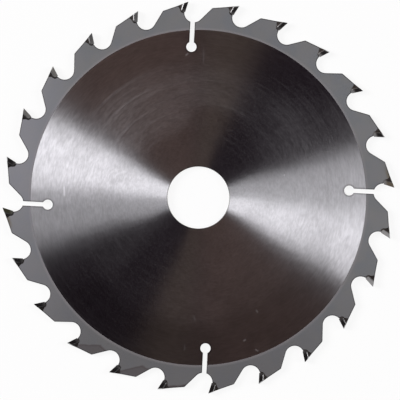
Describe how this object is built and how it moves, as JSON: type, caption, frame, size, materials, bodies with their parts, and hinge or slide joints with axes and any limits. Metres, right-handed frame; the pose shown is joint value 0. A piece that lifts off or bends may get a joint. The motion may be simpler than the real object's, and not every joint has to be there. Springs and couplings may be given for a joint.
{
  "type": "circular saw blade",
  "caption": "Carbide-tipped circular saw blade: a flat round steel plate with hooked teeth, keyhole expansion slots and a plain round arbor bore.",
  "frame": {"origin": "centre of the bore, at half the plate's thickness", "axes": "+Z along the bore axis, out of the face from which the teeth point clockwise; +X near one expansion slot"},
  "size_m": [0.1898, 0.1898, 0.0026],
  "materials": {
    "plate_steel": "circularly brushed disc inside a matte blasted rim",
    "tip_carbide": "dark ground carbide"
  },
  "bodies": {
    "root": {"blade_body": "plate_steel", "carbide_tip_01": "tip_carbide", "carbide_tip_02": "tip_carbide", "carbide_tip_03": "tip_carbide", "carbide_tip_04": "tip_carbide", "carbide_tip_05": "tip_carbide", "carbide_tip_06": "tip_carbide", "carbide_tip_07": "tip_carbide", "carbide_tip_08": "tip_carbide", "carbide_tip_09": "tip_carbide", "carbide_tip_10": "tip_carbide", "carbide_tip_11": "tip_carbide", "carbide_tip_12": "tip_carbide", "carbide_tip_13": "tip_carbide", "carbide_tip_14": "tip_carbide", "carbide_tip_15": "tip_carbide", "carbide_tip_16": "tip_carbide", "carbide_tip_17": "tip_carbide", "carbide_tip_18": "tip_carbide", "carbide_tip_19": "tip_carbide", "carbide_tip_20": "tip_carbide", "carbide_tip_21": "tip_carbide", "carbide_tip_22": "tip_carbide", "carbide_tip_23": "tip_carbide", "carbide_tip_24": "tip_carbide"}
  },
  "joints": []
}
